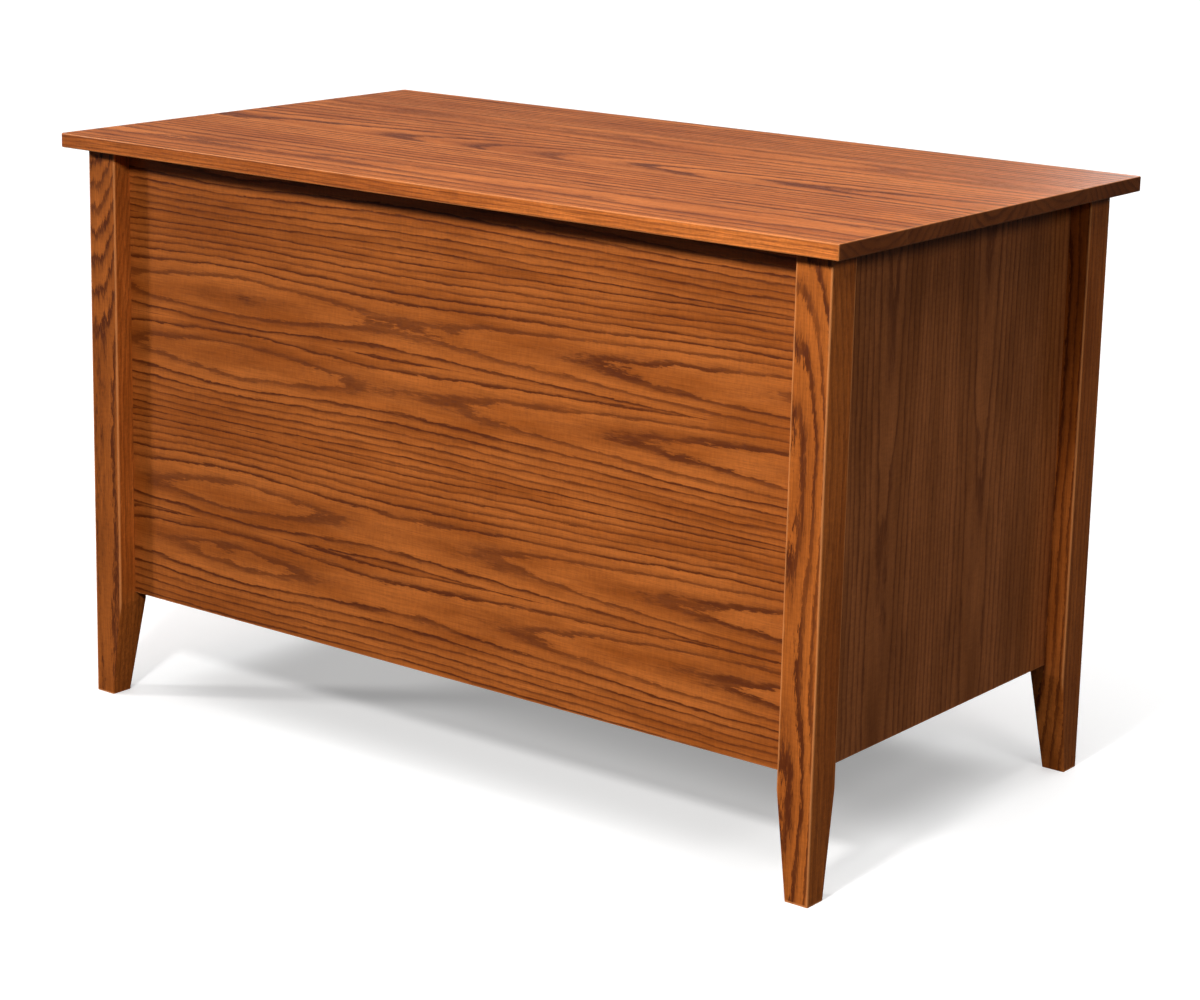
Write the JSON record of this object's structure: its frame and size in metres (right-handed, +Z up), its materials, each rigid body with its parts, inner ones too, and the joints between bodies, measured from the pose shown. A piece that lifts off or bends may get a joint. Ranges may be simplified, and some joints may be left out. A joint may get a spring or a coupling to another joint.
{
  "type": "wooden chest",
  "caption": "Low oak blanket chest: square posts with tapered feet, set-back flat panels and an overhanging board lid on friction hinges.",
  "frame": {"origin": "on the floor, under the middle of the lid", "axes": "+Z up, +X along the chest's length, -Y towards its front"},
  "size_m": [0.965, 0.543, 0.611],
  "materials": {
    "post_oak": "satin",
    "panel_oak": "satin",
    "lid_oak": "satin",
    "inner_wood": "satin",
    "dowel_beech": "matte",
    "hinge_bronze": "satin",
    "hinge_pin_steel": "satin",
    "sleeve_polymer": "matte",
    "screw_bronze": "satin",
    "screw_zinc": "satin",
    "pad_felt": "matte"
  },
  "bodies": {
    "carcass": {"post_front_left": "post_oak", "post_back_left": "post_oak", "side_panel_left": "panel_oak", "cleat_left": "inner_wood", "post_front_right": "post_oak", "post_back_right": "post_oak", "side_panel_right": "panel_oak", "cleat_right": "inner_wood", "front_panel": "panel_oak", "back_panel": "panel_oak", "hinge_rail": "post_oak", "hinge_rail_dowels": "dowel_beech", "cleat_front": "inner_wood", "cleat_back": "inner_wood", "cleat_screws": "screw_zinc", "bottom_panel": "inner_wood", "bottom_screws": "screw_zinc", "hinge_chest_screws": "screw_bronze", "bumper_pads": "pad_felt", "hinge_chest_leaf_left": "hinge_bronze", "hinge_pin_left": "hinge_pin_steel", "hinge_chest_leaf_middle": "hinge_bronze", "hinge_pin_middle": "hinge_pin_steel", "hinge_chest_leaf_right": "hinge_bronze", "hinge_pin_right": "hinge_pin_steel"},
    "lid": {"lid_board_1": "lid_oak", "lid_board_2": "lid_oak", "lid_board_3": "lid_oak", "lid_board_4": "lid_oak", "lid_board_5": "lid_oak", "lid_dowels": "dowel_beech", "batten_left": "inner_wood", "batten_right": "inner_wood", "batten_screws": "screw_zinc", "hinge_lid_screws": "screw_bronze", "hinge_lid_leaf_left": "hinge_bronze", "hinge_lid_leaf_middle": "hinge_bronze", "hinge_lid_leaf_right": "hinge_bronze", "hinge_sleeves_left": "sleeve_polymer", "hinge_sleeves_middle": "sleeve_polymer", "hinge_sleeves_right": "sleeve_polymer"}
  },
  "joints": [
    {"name": "lid_hinge", "type": "hinge", "parent": "carcass", "child": "lid", "pos_m": [0, 0.2515, 0.59], "axis": [-1, 0, 0], "range_deg": [0, 100]}
  ]
}
